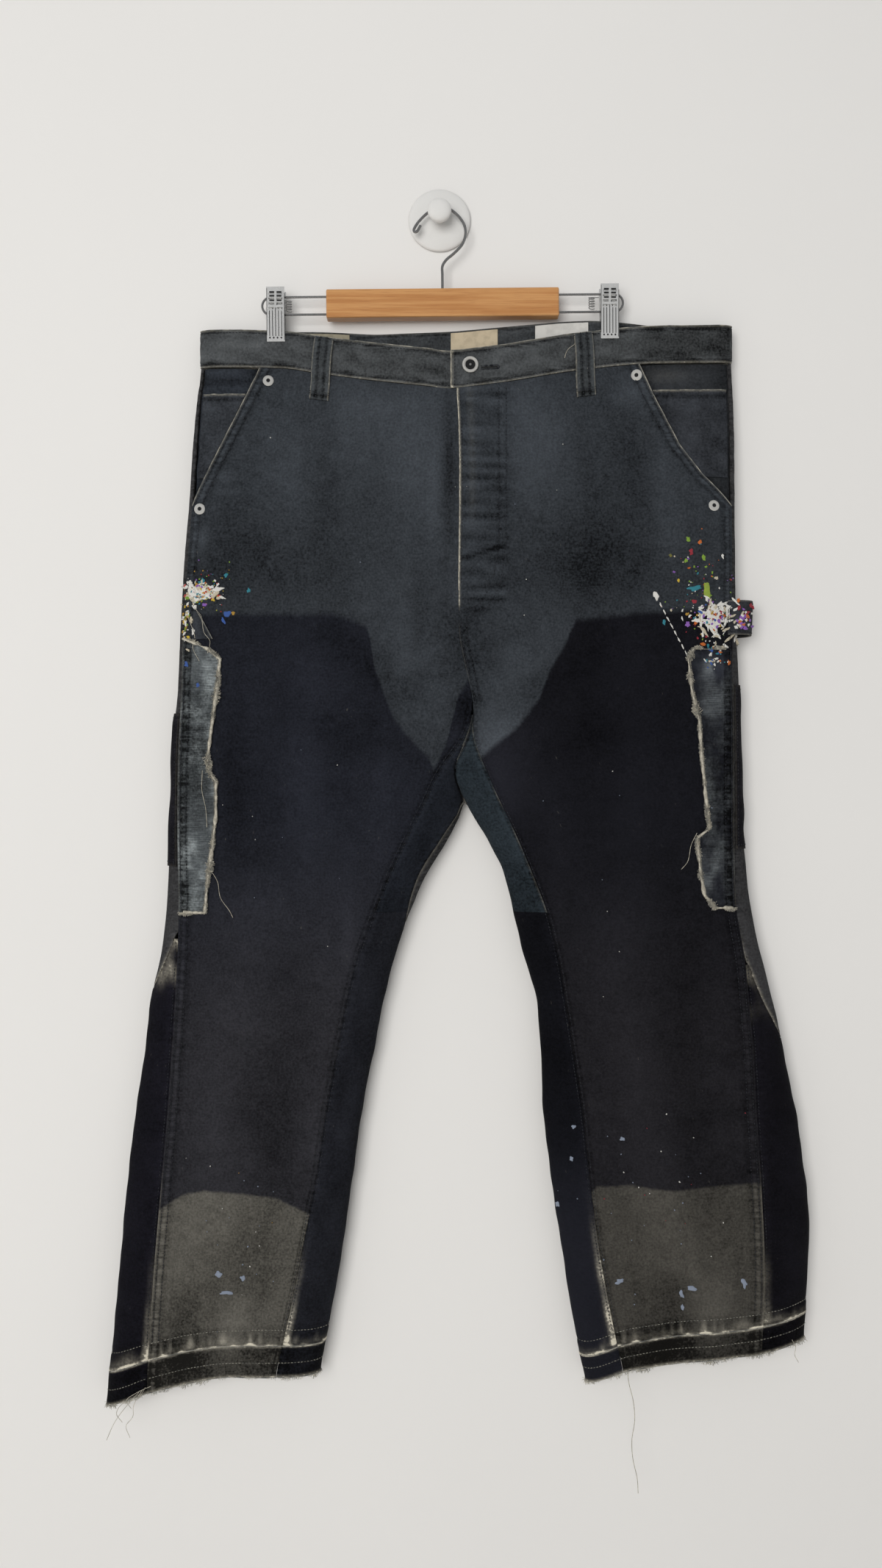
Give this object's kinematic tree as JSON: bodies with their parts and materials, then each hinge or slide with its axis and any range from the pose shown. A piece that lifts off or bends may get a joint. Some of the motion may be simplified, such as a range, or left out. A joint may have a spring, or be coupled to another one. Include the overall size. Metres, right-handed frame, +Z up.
{
  "type": "paint-spattered flared carpenter trousers on a clip hanger and wall hook",
  "caption": "Worn, paint-spattered flared carpenter trousers with inset leg panels, clipped by the waistband to a wooden-block hanger on a round wall hook.",
  "frame": {"origin": "centre of the back face of the wall hook, where it meets the wall", "axes": "+Z up along the trousers' length, -Y the way the front faces, +X to the viewer's right"},
  "size_m": [0.7425, 0.0399, 1.3761],
  "materials": {
    "canvas_slate": "faded washed canvas, matt",
    "canvas_back": "faded washed canvas, matt",
    "canvas_navy": "dark canvas, matt",
    "canvas_gusset": "faded blue-grey canvas, matt",
    "canvas_remnant": "pale frayed canvas, matt",
    "label_cloth": "plain woven label",
    "fastener_steel": "worn steel",
    "thread": "cotton thread",
    "hanger_wood": "varnished, satin",
    "hanger_chrome": "bright plated wire and clips",
    "wall_hook_white": "white gloss"
  },
  "bodies": {
    "root": {"back_panel_left": "canvas_back", "back_panel_right": "canvas_back", "belt_loop_back_centre": "canvas_slate", "belt_loop_back_left": "canvas_slate", "belt_loop_back_right": "canvas_slate", "belt_loop_front_left": "canvas_slate", "belt_loop_front_right": "canvas_slate", "clip_back_jaw_left": "hanger_chrome", "clip_back_jaw_right": "hanger_chrome", "clip_front_jaw_left": "hanger_chrome", "clip_front_jaw_right": "hanger_chrome", "clip_saddle_left": "hanger_chrome", "clip_saddle_right": "hanger_chrome", "crotch_gusset_left": "canvas_gusset", "crotch_gusset_right": "canvas_gusset", "flare_insert_left": "canvas_navy", "flare_insert_right": "canvas_navy", "fly_underlap": "canvas_slate", "front_panel_left": "canvas_slate", "front_panel_right": "canvas_slate", "hammer_loop": "canvas_back", "hanger_bar_left": "hanger_chrome", "hanger_bar_right": "hanger_chrome", "hanger_block": "hanger_wood", "hanger_hook": "hanger_chrome", "hem_thread": "thread", "inner_insert_left": "canvas_navy", "inner_insert_right": "canvas_navy", "knee_flap": "canvas_back", "knee_remnant_left": "canvas_remnant", "knee_remnant_right": "canvas_remnant", "label_centre": "label_cloth", "label_left": "label_cloth", "label_right": "label_cloth", "patch_pocket_left": "canvas_back", "patch_pocket_right": "canvas_back", "pocket_facing_left": "canvas_slate", "pocket_facing_right": "canvas_slate", "rivet_left_lower": "fastener_steel", "rivet_left_upper": "fastener_steel", "rivet_right_lower": "fastener_steel", "rivet_right_upper": "fastener_steel", "tool_pocket_left": "canvas_back", "tool_pocket_right": "canvas_back", "waist_button": "fastener_steel", "waistband": "canvas_slate", "wall_hook": "wall_hook_white"}
  },
  "joints": []
}
